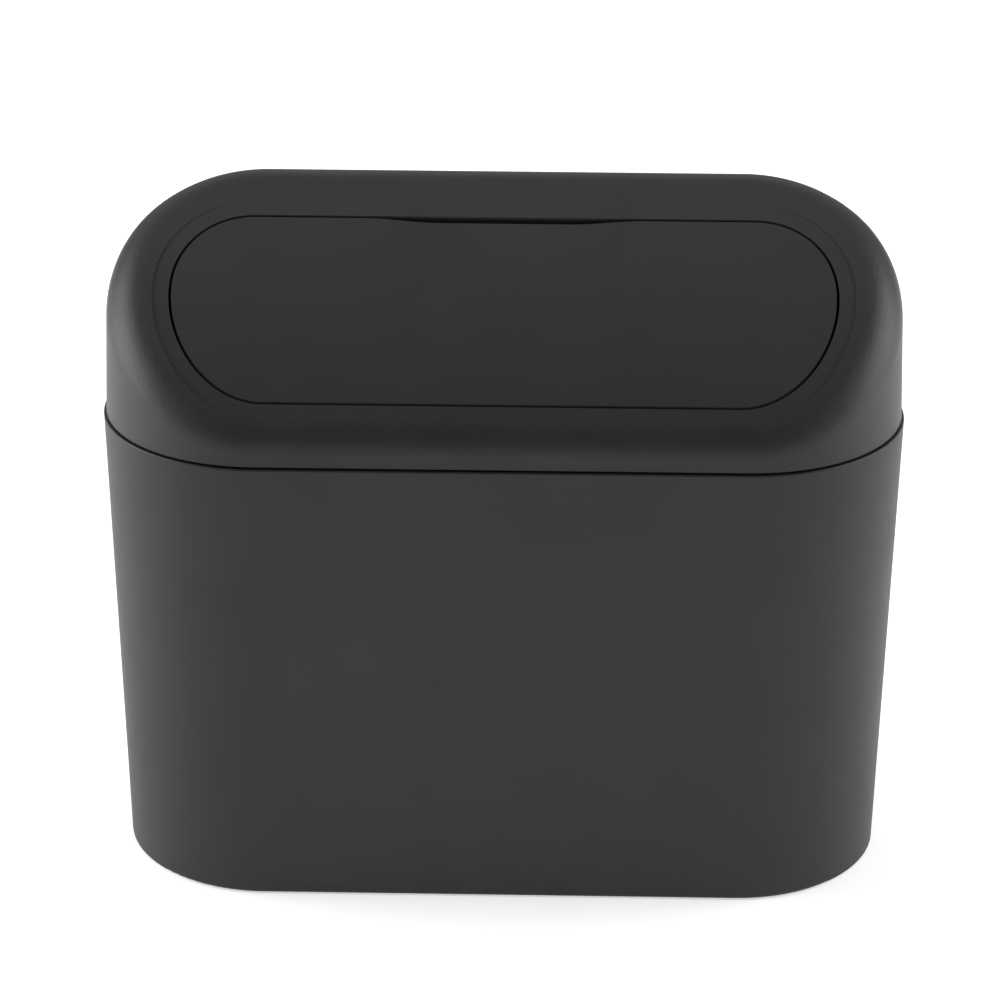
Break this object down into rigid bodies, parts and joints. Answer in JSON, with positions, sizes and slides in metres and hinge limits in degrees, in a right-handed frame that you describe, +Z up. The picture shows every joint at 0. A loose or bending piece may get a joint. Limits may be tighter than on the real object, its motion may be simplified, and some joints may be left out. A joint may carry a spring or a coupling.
{
  "type": "car trash can",
  "caption": "Small stadium-shaped black plastic bin for a car, with a sloped lift-off lid and a sprung flap that pushes inwards.",
  "frame": {"origin": "centre of the underside of the bin", "axes": "+X to the right along the long side, +Y to the rear, where the flap's hinge is, +Z up"},
  "size_m": [0.18, 0.0724, 0.1541],
  "materials": {
    "body_plastic": "fine moulded grain, matt",
    "lid_plastic": "fine moulded grain, matt",
    "flap_plastic": "smooth, matt",
    "steel": "zinc plated",
    "spring_steel": "drawn wire",
    "rubber": "soft, matt"
  },
  "bodies": {
    "bin": {"bin_body": "body_plastic"},
    "lid": {"lid_frame": "lid_plastic", "hinge_rod": "steel", "torsion_spring_left": "spring_steel", "torsion_spring_right": "spring_steel", "hinge_cap_left": "lid_plastic", "hinge_cap_right": "lid_plastic", "hinge_cap_screws": "steel", "flap_bumper_left": "rubber", "flap_bumper_right": "rubber"},
    "flap": {"flap": "flap_plastic"}
  },
  "joints": [
    {"name": "lid_lift", "type": "slide", "parent": "bin", "child": "lid", "axis": [0, 0, 1], "range_m": [0, 0.06]},
    {"name": "flap_hinge", "type": "hinge", "parent": "lid", "child": "flap", "pos_m": [0, 0.0066, 0.13962], "axis": [1, 0, 0], "range_deg": [0, 70], "stiffness_Nm_per_rad": 0.02, "springref_deg": -57.3, "deforming": ["torsion_spring_left", "torsion_spring_right"]}
  ]
}
